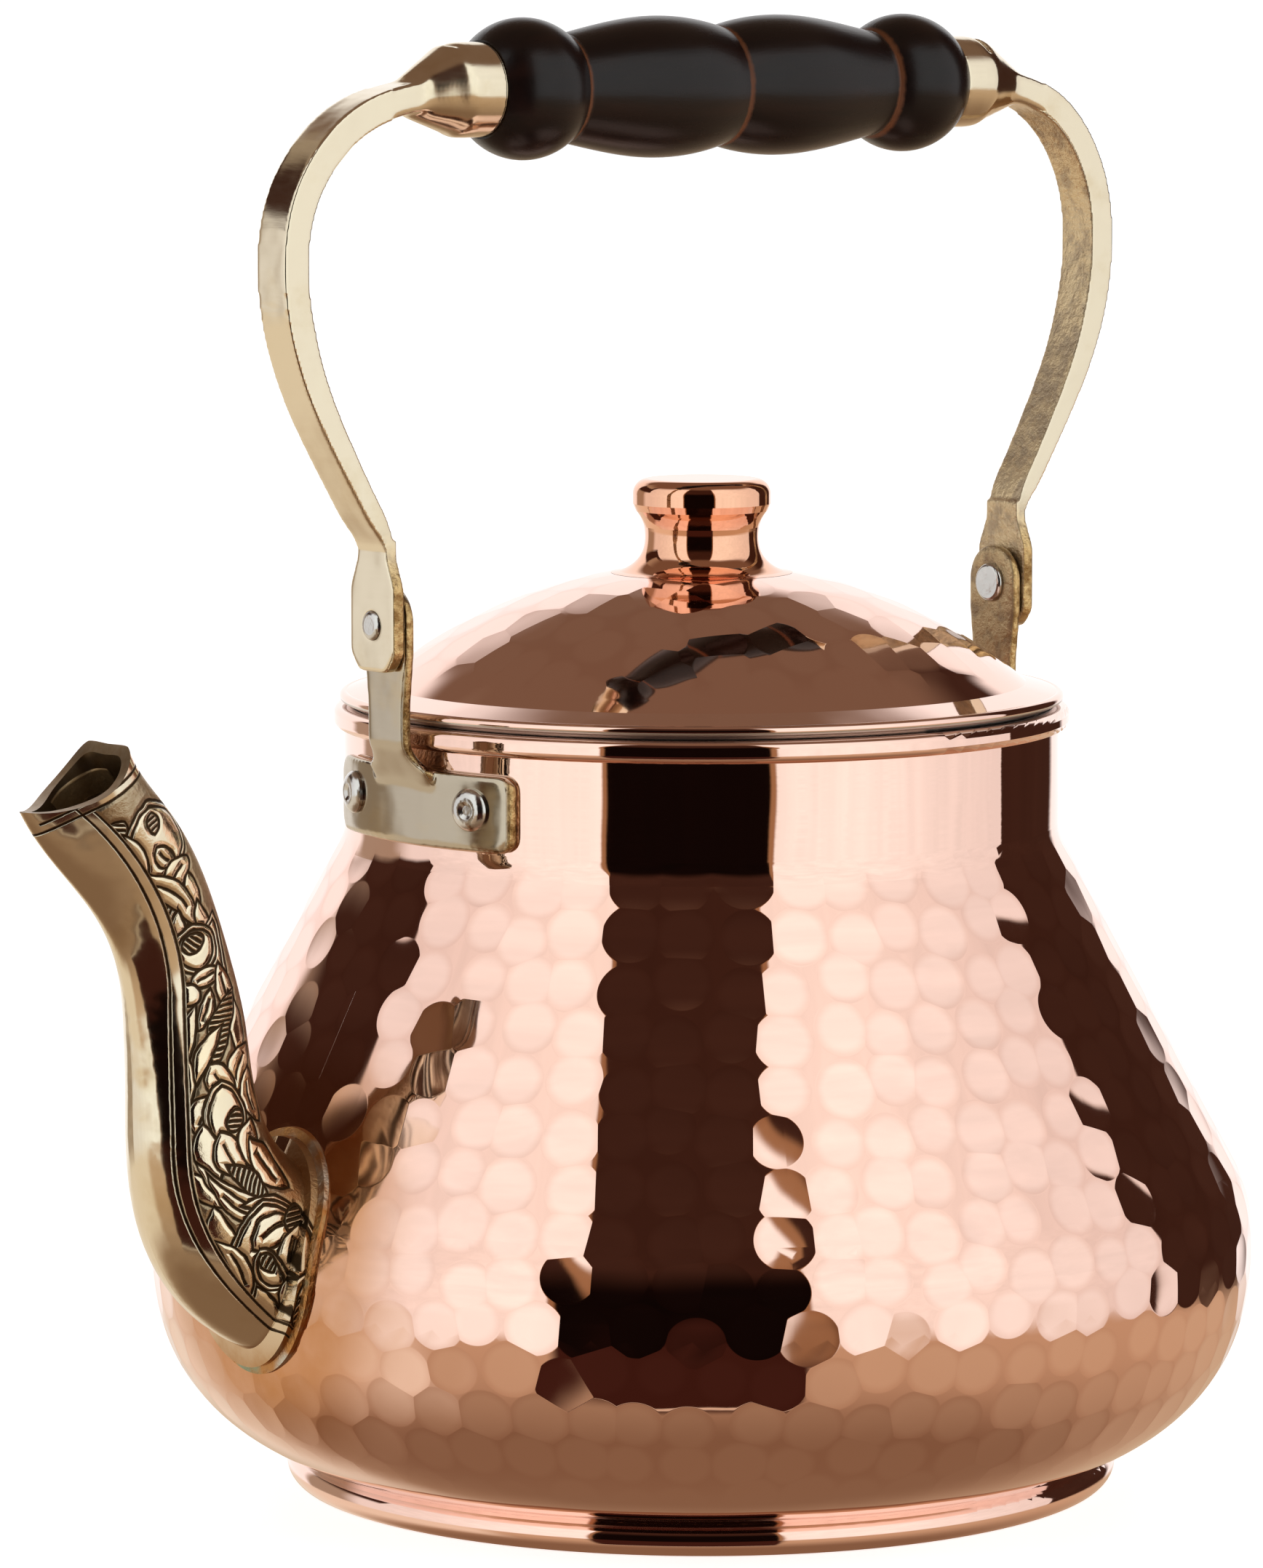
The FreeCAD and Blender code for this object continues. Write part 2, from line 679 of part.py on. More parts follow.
def lid_shell():
    seat = rim_high + seat_gap
    foot = on_dome(dome_foot_radius, 0)
    under = on_dome(dome_foot_radius - 1.6, -sheet)
    hole = screw_radius + shank_gap
    top = on_dome(hole, 0)
    top_in = on_dome(hole, -sheet)
    edges = [arc(top, on_dome(dome_foot_radius * 0.55, 0), foot)]
    edges.append(line(foot, V(brim_radius - brim_roll, 0, brim_top)))
    roll_start = brim_radius - brim_roll
    edges.append(arc(V(roll_start, 0, brim_top), V(brim_radius, 0, brim_height + brim_thickness * 0.5),
                     V(roll_start, 0, brim_height)))
    edges.append(line(V(roll_start, 0, brim_height), V(roll_start - brim_lift, 0, seat)))
    edges.append(line(V(roll_start - brim_lift, 0, seat), V(under.x + 0.4, 0, seat)))
    edges.append(line(V(under.x + 0.4, 0, seat), under))
    edges.append(arc(under, on_dome(dome_foot_radius * 0.5, -sheet), top_in))
    edges.append(line(top_in, top))
    return turned(Part.Wire(edges))


def lid_collar():
    high = rim_high + seat_gap
    low = high - collar_depth
    inner = collar_radius - collar_sheet
    outline = soft_outline([V(inner, 0, low), V(collar_radius, 0, low), V(collar_radius, 0, high),
                            V(inner, 0, high)], [collar_corner, collar_corner, 0, 0])
    return turned(outline)


def lid_knob():
    foot = on_dome(knob_foot_radius, lap_gap)
    seat = on_dome(screw_radius + lap_gap, lap_gap)
    depth = on_dome(0, 0).z + screw_bite
    bite = screw_radius + lap_gap
    flare_out = (knob_foot_radius - knob_waist_radius) * knob_flare_share
    spread = V(knob_waist_radius + flare_out, 0, foot.z + knob_flare_rise)
    neck_low = V(knob_waist_radius + knob_waist_swell, 0, foot.z + knob_neck_rise)
    waist = V(knob_waist_radius, 0, knob_cap_low - knob_waist_drop)
    throat = V(knob_waist_radius + knob_throat_swell, 0, knob_cap_low - knob_throat_drop)
    flare = curve([foot, spread, neck_low, waist, throat])
    edges = [flare.toShape()]
    cap_edge = V(knob_cap_radius - knob_cap_undercut, 0, knob_cap_low + knob_cap_lip / 4)
    curl_out = knob_waist_radius + knob_throat_swell + knob_cap_undercut
    curl = V(curl_out, 0, knob_cap_low - knob_throat_drop * 0.42)
    edges.append(arc(throat, curl, cap_edge))
    side_low = V(knob_cap_radius, 0, knob_cap_low + knob_cap_lip)
    side_high = V(knob_cap_radius, 0, knob_top - knob_corner)
    edges.append(line(cap_edge, side_low))
    edges.append(line(side_low, side_high))
    bend = knob_corner * (1 - math.sqrt(0.5))
    edges.append(arc(side_high, V(knob_cap_radius - bend, 0, knob_top - bend),
                     V(knob_cap_radius - knob_corner, 0, knob_top)))
    edges.append(line(V(knob_cap_radius - knob_corner, 0, knob_top), V(0, 0, knob_top)))
    edges.append(line(V(0, 0, knob_top), V(0, 0, depth)))
    edges.append(line(V(0, 0, depth), V(bite, 0, depth)))
    edges.append(line(V(bite, 0, depth), V(bite, 0, seat.z)))
    edges.append(arc(seat, on_dome(knob_foot_radius * 0.5, lap_gap), foot))
    return turned(Part.Wire(edges))


def washer_top():
    return on_dome(washer_radius, -sheet).z - lap_gap


def knob_washer():
    blank = Part.makeCylinder(washer_radius, washer_thickness, V(0, 0, washer_top() - washer_thickness))
    crown = Part.makeCylinder(washer_radius, 3, V(0, 0, washer_top()))
    under = Part.makeSphere(dome_sphere - sheet - lap_gap, V(0, 0, dome_centre))
    hole = Part.makeCylinder(screw_radius + shank_gap, 20, V(0, 0, washer_top() - 10))
    return blank.fuse(crown.common(under)).cut(hole).removeSplitter()


def knob_screw():
    seat = washer_top() - washer_thickness
    top = on_dome(0, 0).z + screw_bite - 0.3
    shank = Part.makeCylinder(screw_radius, top - seat, V(0, 0, seat))
    head = Part.makeCylinder(screw_head_radius, screw_head_height, V(0, 0, seat - screw_head_height))
    low_edges = [e for e in head.Edges if abs(e.CenterOfMass.z - head.BoundBox.ZMin) < 0.01]
    head = head.makeFillet(screw_edge, low_edges)
    slot = Part.makeBox(screw_head_radius * 3, slot_width, slot_depth * 2)
    slot.translate(V(-screw_head_radius * 1.5, -slot_width / 2, seat - screw_head_height - slot_depth))
    return shank.fuse(head).cut(slot).removeSplitter()


save("body_shell", body_shell())
save("base_pan", base_pan())
save("rim_wire", rim_wire())
save("spout", spout())
save("spout_solder", spout_solder())
for name, side in (("front", -1), ("rear", 1)):
    save(name + "_bracket", bracket(side))
    save(name + "_bracket_rivets", bracket_rivets(side))
    save(name + "_pivot_rivet", pivot_rivet(side))
    save(name + "_arm", arm(side))
save("grip", grip())
save("tie_rod", tie_rod())
save("lid_shell", lid_shell())
save("lid_collar", lid_collar())
save("lid_knob", lid_knob())
save("knob_washer", knob_washer())
save("knob_screw", knob_screw())
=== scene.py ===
import bpy, math
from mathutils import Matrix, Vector


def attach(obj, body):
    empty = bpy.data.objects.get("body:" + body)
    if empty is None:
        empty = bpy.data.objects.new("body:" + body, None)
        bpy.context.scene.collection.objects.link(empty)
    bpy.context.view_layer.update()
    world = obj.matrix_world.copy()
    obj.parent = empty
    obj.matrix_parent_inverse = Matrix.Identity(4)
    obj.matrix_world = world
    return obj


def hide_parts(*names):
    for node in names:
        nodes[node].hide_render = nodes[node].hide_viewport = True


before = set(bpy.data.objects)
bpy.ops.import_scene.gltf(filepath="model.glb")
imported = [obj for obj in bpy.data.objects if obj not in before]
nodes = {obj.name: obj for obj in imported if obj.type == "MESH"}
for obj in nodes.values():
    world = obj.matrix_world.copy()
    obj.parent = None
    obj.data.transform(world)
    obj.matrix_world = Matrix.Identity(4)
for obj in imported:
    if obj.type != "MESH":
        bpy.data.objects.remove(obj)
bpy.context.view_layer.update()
print("frame loaded:", len(nodes), "pieces")


# a wrapped socket, so that shader sums read as sums
class Signal:
    def __init__(self, finish, socket):
        self.finish = finish
        self.socket = socket

    def calc(self, operation, *others, clamp=False):
        inputs = {0: self}
        for place, other in enumerate(others):
            inputs[place + 1] = other
        return self.finish.node("Math", {"operation": operation, "use_clamp": clamp}, inputs)

    def __add__(self, other):
        return self.calc("ADD", other)

    def __radd__(self, other):
        return self.calc("ADD", other)

    def __sub__(self, other):
        return self.calc("SUBTRACT", other)

    def __rsub__(self, other):
        return self.finish.node("Math", {"operation": "SUBTRACT"}, {0: other, 1: self})

    def __mul__(self, other):
        return self.calc("MULTIPLY", other)

    def __rmul__(self, other):
        return self.calc("MULTIPLY", other)

    def __truediv__(self, other):
        return self.calc("DIVIDE", other)

    def __pow__(self, other):
        return self.calc("POWER", other)


class Finish:
    def __init__(self, tree):
        self.tree = tree

    def node(self, kind, settings, inputs, output=0):
        made = self.tree.nodes.new("ShaderNode" + kind)
        for name, value in settings.items():
            setattr(made, name, value)
        for name, value in inputs.items():
            socket = made.inputs[name]
            if isinstance(value, Signal):
                self.tree.links.new(value.socket, socket)
            else:
                socket.default_value = value
        return Signal(self, made.outputs[output])

    def step(self, signal, low, high):
        return self.node("MapRange", {"interpolation_type": "SMOOTHSTEP"},
                         {"Value": signal, "From Min": low, "From Max": high})

    def mix(self, factor, first, second, blend="MIX"):
        return self.node("Mix", {"data_type": "RGBA", "blend_type": blend, "clamp_factor": True},
                         {0: factor, 6: first, 7: second}, 2)

    def split(self, vector):
        made = self.tree.nodes.new("ShaderNodeSeparateXYZ")
        self.tree.links.new(vector.socket, made.inputs[0])
        return [Signal(self, output) for output in made.outputs]

    def join(self, x, y, z):
        return self.node("CombineXYZ", {}, {0: x, 1: y, 2: z})

    def objectPlace(self):
        return self.node("TexCoord", {}, {}, 3)

    def noise(self, vector, scale, detail=3.0, rough=0.5, output=0):
        return self.node("TexNoise", {}, {"Vector": vector, "Scale": scale, "Detail": detail,
                                          "Roughness": rough}, output)

    def stretched(self, vector, scale, turn=(0, 0, 0)):
        return self.node("Mapping", {}, {"Vector": vector, "Scale": scale, "Rotation": turn})

    def bump(self, height, strength, distance, below=None):
        inputs = {"Height": height, "Strength": strength, "Distance": distance}
        if below is not None:
            inputs["Normal"] = below
        return self.node("Bump", {}, inputs)


def newMaterial(name, settings, links):
    material = bpy.data.materials.new(name)
    material.use_nodes = True
    tree = material.node_tree
    finish = Finish(tree)
    shader = next(n for n in tree.nodes if n.type == "BSDF_PRINCIPLED")
    for key, value in settings.items():
        shader.inputs[key].default_value = value
    for key, value in links(finish).items():
        if isinstance(value, Signal):
            tree.links.new(value.socket, shader.inputs[key])
        else:
            shader.inputs[key].default_value = value
    return material


# the darker copper for the ridges between hammer dents is painted shade
copperLook = {
    "colour": (0.955, 0.665, 0.565, 1), "deep": (0.93, 0.59, 0.47, 1), "ridgeShade": (0.80, 0.49, 0.39, 1),
    "heat": (0.56, 0.25, 0.09, 1), "knob": (0.87, 0.47, 0.30, 1), "tin": (0.70, 0.70, 0.68, 1),
    "rough": 0.028, "waveDepth": 0.0009, "latheDepth": 0.00005,
}
hammering = {
    "dentAcross": 0.0089, "rowPitch": 0.0076, "jitter": 0.34, "tilt": 0.22, "uneven": 0.09, "rowShift": 0.618,
    "depth": 0.00054, "reach": 0.30, "blend": 0.02, "lowEdge": (0.010, 0.020), "highEdge": (0.1095, 0.1135),
    "shoulderRadius": 0.0924, "shoulderHeight": 0.0555, "shoulderSlope": 0.5395,
    "bellyRadius": 0.0956, "bellyHeight": 0.043, "bellyCurve": 13.2,
    "flange": (-0.0945, 0.0, 0.0500), "heatEdge": (0.022, 0.037),
}
lidHammering = {"scale": 128.0, "depth": 0.00030, "lowEdge": (0.1405, 0.1440), "highEdge": (0.1560, 0.158)}


# dents in rows round the body: each row keeps the hammer's own spacing, so the count follows the radius
def hammerRows(finish, x, y, z):
    jitter, tilt, blend = hammering["jitter"], hammering["tilt"], hammering["blend"]
    turn = y.calc("ARCTAN2", x) / (2 * math.pi) + 0.5
    row = z / hammering["rowPitch"]
    rowIndex = row.calc("FLOOR")
    nearest = None
    for rowStep in (-1.0, 0.0, 1.0):
        thisRow = rowIndex + rowStep
        height = (thisRow + 0.5) * hammering["rowPitch"]
        above = hammering["shoulderHeight"] - height
        onShoulder = above * hammering["shoulderSlope"] + hammering["shoulderRadius"]
        under = (hammering["bellyHeight"] - height).calc("MAXIMUM", 0.0)
        onBelly = hammering["bellyRadius"] - under * under * hammering["bellyCurve"]
        count = (onShoulder.calc("MINIMUM", onBelly) * (2 * math.pi / hammering["dentAcross"])).calc("ROUND")
        along = turn * count
        shift = (thisRow * hammering["rowShift"]).calc("FRACT")
        cell = (along - shift).calc("FLOOR")
        for cellStep in (-1.0, 0.0, 1.0):
            thisCell = cell + cellStep
            wrapped = (thisCell / count + 1.0).calc("FRACT")
            key = finish.join(wrapped, thisRow * 0.173, 0.0)
            chance = finish.node("TexWhiteNoise", {"noise_dimensions": "3D"}, {"Vector": key}, 1)
            chanceX, chanceY, chanceZ = finish.split(chance)
            away = along - (thisCell + shift + 0.5) - (chanceX - 0.5) * jitter
            awayUp = (row - (thisRow + 0.5) - (chanceY - 0.5) * jitter) * 0.95
            tiltUp = ((chanceX * 5.7).calc("FRACT") - 0.5) * awayUp * tilt
            offset = (chanceZ - 0.5) * hammering["uneven"] + (chanceZ - 0.5) * away * tilt + tiltUp
            reach = away * away + awayUp * awayUp + offset
            nearest = reach if nearest is None else nearest.calc("SMOOTH_MIN", reach, blend)
    return nearest.calc("SMOOTH_MIN", hammering["reach"], 0.03)


# the inside of the vessel is wiped with tin
def tinned(finish, inside, look):
    streak = finish.noise(finish.objectPlace(), 45.0, 3.0)
    return {
        "Base Color": finish.mix(inside, look["Base Color"], copperLook["tin"]),
        "Roughness": look["Roughness"] + inside * (0.22 + streak * 0.14),
        "Normal": look["Normal"],
    }


def hammeredCopper(finish):
    place = finish.objectPlace()
    x, y, z = finish.split(place)
    nearest = hammerRows(finish, x, y, z)
    facing = finish.split(finish.node("TexCoord", {}, {}, 1))
    inside = finish.step((facing[0] * x + facing[1] * y) * -60.0, 0.5, 1.5)
    dented = finish.step(z, *hammering["lowEdge"]) * (1 - finish.step(z, *hammering["highEdge"]))
    dented = dented * (1 - inside * 0.7)
    dents = finish.bump(nearest * dented, 1.0, hammering["depth"])
    lathe = finish.noise(finish.stretched(place, (3.0, 3.0, 900.0)), 1.0, 2.0)
    onNeck = finish.step(z, 0.1125, 0.115)
    turned = finish.bump(lathe * onNeck, 0.3, copperLook["latheDepth"], dents)
    wavy = finish.bump(finish.noise(place, 26.0, 2.0), 0.5, copperLook["waveDepth"], turned)
    smears = finish.noise(place, 60.0, 4.0, 0.6)
    fine = finish.noise(finish.stretched(place, (900.0, 900.0, 200.0)), 1.0, 2.0)
    flangeX, flangeY, flangeZ = hammering["flange"]
    dx, dy, dz = x - flangeX, y - flangeY, (z - flangeZ) * 0.80
    fromFlange = (dx * dx + dy * dy + dz * dz).calc("SQRT") + (smears - 0.5) * 0.010
    heat = (1 - finish.step(fromFlange, *hammering["heatEdge"])) * (0.45 + smears * 0.7)
    # painted shade: the copper is darkened along the ridges between the dents
    ridgeShade = finish.step(nearest, 0.12, 0.30) * dented
    colour = finish.mix(smears * 0.4, copperLook["colour"], copperLook["deep"])
    colour = finish.mix(ridgeShade * 0.58, colour, copperLook["ridgeShade"])
    return tinned(finish, inside, {
        "Base Color": finish.mix(heat, colour, copperLook["heat"]),
        "Roughness": copperLook["rough"] + (smears - 0.5) * 0.03 + (fine - 0.5) * 0.012 + heat * 0.08,
        "Normal": wavy,
    })


def turnedCopper(finish):
    place = finish.objectPlace()
    x, y, z = finish.split(place)
    facing = finish.split(finish.node("TexCoord", {}, {}, 1))
    lathe = finish.noise(finish.stretched(place, (3.0, 3.0, 1100.0)), 1.0, 2.0)
    smears = finish.noise(place, 70.0, 4.0, 0.6)
    inside = finish.step(facing[2], 0.5, 0.8) * (1 - finish.step(z, 0.009, 0.010))
    colour = finish.mix(smears * 0.5, copperLook["colour"], copperLook["deep"])
    return tinned(finish, inside, {
        "Base Color": finish.mix(finish.step(z, 0.1540, 0.1560) * 0.9, colour, copperLook["knob"]),
        "Roughness": copperLook["rough"] + 0.015 + (smears - 0.5) * 0.05,
        "Normal": finish.bump(lathe, 0.25, copperLook["latheDepth"]),
    })


def lidCopper(finish):
    place = finish.objectPlace()
    x, y, z = finish.split(place)
    flat = finish.join(x, y, 0.0)
    cells = finish.node("TexVoronoi", {"feature": "F1", "voronoi_dimensions": "2D"},
                        {"Vector": flat, "Scale": lidHammering["scale"], "Randomness": 0.72}, 0)
    hollow = (cells * cells).calc("SMOOTH_MIN", 0.42, 0.05)
    dented = finish.step(z, *lidHammering["lowEdge"]) * (1 - finish.step(z, *lidHammering["highEdge"]))
    dents = finish.bump(hollow * dented, 1.0, lidHammering["depth"])
    wavy = finish.bump(finish.noise(place, 30.0, 2.0), 0.5, copperLook["waveDepth"], dents)
    smears = finish.noise(place, 70.0, 4.0, 0.6)
    facing = finish.split(finish.node("TexCoord", {}, {}, 1))
    # painted shade: the lid's copper is darkened along the ridges between its dents
    ridgeShade = finish.step(hollow, 0.16, 0.40) * dented
    colour = finish.mix(smears * 0.4, copperLook["colour"], copperLook["deep"])
    return tinned(finish, finish.step(facing[2] * -1.0, 0.1, 0.3), {
        "Base Color": finish.mix(ridgeShade * 0.35, colour, copperLook["ridgeShade"]),
        "Roughness": copperLook["rough"] + 0.01 + (smears - 0.5) * 0.04,
        "Normal": wavy,
    })


brassLook = {
    "pale": (0.80, 0.70, 0.53, 1), "aged": (0.50, 0.43, 0.33, 1), "warm": (0.60, 0.44, 0.22, 1),
    # the dark colour of the chased cuts is the dirt in them together with painted shade for their depth
    "lineDirtAndShade": (0.045, 0.026, 0.012, 1), "sandDark": (0.30, 0.17, 0.06, 1), "sandGold": (0.74, 0.52, 0.24, 1),
    "rough": 0.14, "polishedAbove": (0.158, 0.170), "sandDepth": 0.0004, "scratchDepth": 0.00005,
}


# edges and inner faces are as they came from the sand: rough, and golden where the polishing wheel missed
def filedBrass(finish, tone="pale"):
    place = finish.objectPlace()
    x, y, z = finish.split(place)
    facing = finish.split(finish.node("TexCoord", {}, {}, 1))
    unpolished = 1 - finish.step(z, *brassLook["polishedAbove"])
    edge = finish.step(facing[1].calc("ABSOLUTE"), 0.55, 0.85) * unpolished
    inner = finish.step(facing[0] * x * -25.0, 0.5, 1.0)
    grit = finish.noise(place, 900.0, 4.0, 0.65)
    lumps = finish.noise(place, 300.0, 3.0, 0.6)
    scratch = finish.noise(finish.stretched(place, (220.0, 220.0, 1500.0)), 1.0, 2.0)
    tarnish = finish.step(finish.noise(place, 60.0, 5.0, 0.6), 0.50, 0.75)
    ripple = finish.bump(finish.noise(place, 70.0, 2.0), 0.6, 0.0008)
    rough = finish.bump((grit + lumps) * edge.calc("MAXIMUM", inner), 0.8, brassLook["sandDepth"], ripple)
    pale = finish.mix(tarnish * 0.4, brassLook[tone], brassLook["warm"])
    golden = finish.mix(finish.step(lumps, 0.35, 0.6), brassLook["sandDark"], brassLook["sandGold"])
    return {
        "Base Color": finish.mix(edge.calc("MAXIMUM", inner * 0.55), pale, golden),
        "Roughness": brassLook["rough"] + (scratch - 0.5) * 0.10 + edge * 0.22 + inner * 0.24,
        "Normal": finish.bump(scratch, 0.18, brassLook["scratchDepth"], rough),
    }


# the brackets were never polished as bright as the arms
def agedBrass(finish):
    return filedBrass(finish, "aged")


# chased panel on each flank of the spout, in millimetres and degrees: overlapping leaves, each on top of
# those before it (centre x, centre z, half length, half width, direction, bend, kind); kind r has a rib,
# h is hatched, d has a double outline and p is plain
chasing = {
    "leaves": [
        (-126.6, 121.6, 2.4, 1.5, 60, 0.00, "h"), (-123.6, 113.8, 3.6, 1.1, 120, 0.03, "p"),
        (-118.6, 120.2, 6.2, 4.6, 108, 0.00, "d"), (-119.6, 123.4, 1.7, 1.0, 100, 0.00, "h"),
        (-117.2, 117.4, 2.2, 1.2, 140, 0.06, "r"), (-121.6, 117.0, 5.0, 1.0, 112, -0.05, "p"),
        (-114.6, 114.6, 2.9, 1.6, 55, 0.05, "r"), (-111.6, 111.4, 3.0, 1.2, 112, 0.04, "p"),
        (-116.6, 108.4, 5.4, 1.5, 142, 0.03, "h"), (-116.0, 111.4, 8.0, 1.7, 150, -0.035, "r"),
        (-109.4, 106.6, 3.0, 1.1, 120, 0.05, "p"), (-113.8, 104.4, 3.4, 1.1, 108, 0.04, "p"),
        (-107.4, 101.6, 5.2, 2.2, 100, 0.05, "d"), (-110.6, 101.8, 3.7, 3.2, 90, 0.00, "d"),
        (-111.3, 102.9, 1.9, 1.3, 30, 0.00, "h"), (-109.0, 97.2, 3.0, 1.2, 20, 0.06, "r"),
        (-112.3, 94.2, 1.7, 1.6, 90, 0.00, "p"), (-105.2, 94.8, 4.0, 1.4, 112, 0.03, "r"),
        (-102.8, 88.4, 5.4, 1.3, 98, -0.02, "p"), (-112.6, 87.6, 4.4, 1.1, 82, 0.03, "p"),
        (-108.9, 91.6, 3.2, 1.1, 70, -0.05, "r"), (-106.4, 88.6, 6.0, 1.7, 68, 0.02, "h"),
        (-109.6, 84.8, 4.8, 1.1, 60, 0.04, "p"), (-112.9, 79.8, 3.8, 1.0, 88, 0.02, "p"),
        (-103.0, 81.8, 3.8, 1.8, 62, 0.05, "r"), (-107.2, 79.6, 3.2, 2.0, 128, 0.04, "r"),
        (-101.0, 76.6, 4.2, 1.6, 104, 0.05, "r"), (-110.4, 74.6, 3.4, 1.9, 60, 0.05, "r"),
        (-106.4, 74.0, 5.2, 3.2, 96, 0.00, "d"), (-104.6, 73.0, 1.8, 1.2, 60, 0.00, "h"),
        (-110.2, 68.2, 4.2, 1.8, 106, 0.04, "p"), (-106.4, 67.4, 3.6, 2.1, 118, 0.05, "r"),
        (-102.4, 69.4, 3.4, 1.6, 80, 0.04, "p"), (-99.2, 65.0, 5.0, 1.9, 128, 0.03, "r"),
        (-102.6, 62.8, 4.8, 1.4, 134, -0.03, "h"), (-110.6, 61.6, 3.6, 1.2, 130, 0.03, "p"),
        (-106.6, 61.0, 6.6, 1.2, 150, 0.04, "p"), (-105.0, 58.4, 7.0, 1.2, 148, 0.04, "r"),
        (-98.8, 58.8, 5.0, 1.2, 165, -0.04, "p"), (-107.8, 54.0, 4.6, 1.5, 122, 0.05, "p"),
        (-99.0, 50.2, 8.6, 5.8, 100, 0.00, "d"), (-104.6, 48.6, 5.6, 1.3, 118, -0.04, "r"),
        (-99.4, 54.6, 3.8, 2.1, 28, 0.06, "r"), (-95.2, 56.0, 2.2, 1.4, 70, 0.00, "h"),
        (-95.8, 50.4, 4.2, 2.0, 84, 0.05, "r"), (-99.6, 47.6, 3.8, 2.1, 128, 0.05, "d"),
        (-100.0, 49.2, 1.6, 1.0, 128, 0.00, "h"), (-95.4, 44.6, 3.4, 1.5, 64, 0.04, "r"),
        (-99.4, 41.8, 3.8, 1.2, 132, 0.03, "p"), (-94.6, 39.6, 3.2, 1.2, 112, 0.03, "h"),
    ],
    "longer": 1.14, "wider": 1.30, "width": 0.24, "depth": 0.00024, "innerOutline": 0.85, "hatchInset": 0.42,
    # the flange colour is painted shade: an orange-brown shadow on the flange where it hugs the belly
    "gold": (0.92, 0.78, 0.54, 1), "ground": (0.30, 0.20, 0.10, 1), "flange": (0.42, 0.21, 0.075, 1),
    # the mouth colour is painted shade inside the spout's mouth
    "mouthShade": (0.26, 0.15, 0.055, 1), "flangeShadeEdge": (96.5, 98.5), "hidden": 5.0,
    "borderGap": 1.9, "collarLines": (4.4, 2.9), "ridgeEdge": (1.6, 2.6),
    "border": {"straight": -115.0, "low": (70.0, 35.0, 21.0, 2.4), "high": (94.0, 29.0, 14.5, 2.0)},
    "mouth": (-128.65, 132.2), "mouthLean": 60.0,
}


# distance to the nearest cut line, and depth inside the leaves
def chasedLeaves(x, z):
    lines = cover = None
    for cx, cz, length, width, turn, bend, kind in chasing["leaves"]:
        length, width = length * chasing["longer"], width * chasing["wider"]
        ux, uz = math.cos(math.radians(turn)), math.sin(math.radians(turn))
        along = x * ux + z * uz - (cx * ux + cz * uz)
        over = z * ux - x * uz - (cz * ux - cx * uz) + along * along * bend
        arc = (length * length + width * width) / (2 * width)
        side = over.calc("ABSOLUTE") + (arc - width)
        depth = (along * along + side * side).calc("SQRT") - arc
        edge = depth.calc("ABSOLUTE")
        if kind == "r":
            rib = over.calc("ABSOLUTE").calc("MAXIMUM", along.calc("ABSOLUTE") - length * 0.45)
            edge = edge.calc("MINIMUM", rib)
        elif kind == "h":
            strokes = ((along * 0.9 + over * 0.4) * 1.15).calc("PINGPONG", 0.5) * 0.85
            edge = edge.calc("MINIMUM", strokes.calc("MAXIMUM", depth + chasing["hatchInset"]))
        elif kind == "d":
            edge = edge.calc("MINIMUM", (depth + chasing["innerOutline"]).calc("ABSOLUTE"))
        lines = edge if lines is None else lines.calc("MAXIMUM", depth * -1.0).calc("MINIMUM", edge)
        cover = depth if cover is None else cover.calc("MINIMUM", depth)
    return lines, cover


# how far a point is inside the panel's border, which runs straight up the middle of the spout and curves
# in to the belly below and out to the mouth above
def insideBorder(x, z):
    border = chasing["border"]
    lowFrom, lowSpan, lowReach, lowPower = border["low"]
    highFrom, highSpan, highReach, highPower = border["high"]
    towardBelly = ((lowFrom - z) / lowSpan).calc("MAXIMUM", 0.0) ** lowPower * lowReach
    towardMouth = ((z - highFrom) / highSpan).calc("MAXIMUM", 0.0) ** highPower * highReach
    return (x - (towardBelly - towardMouth + border["straight"])) * 0.9


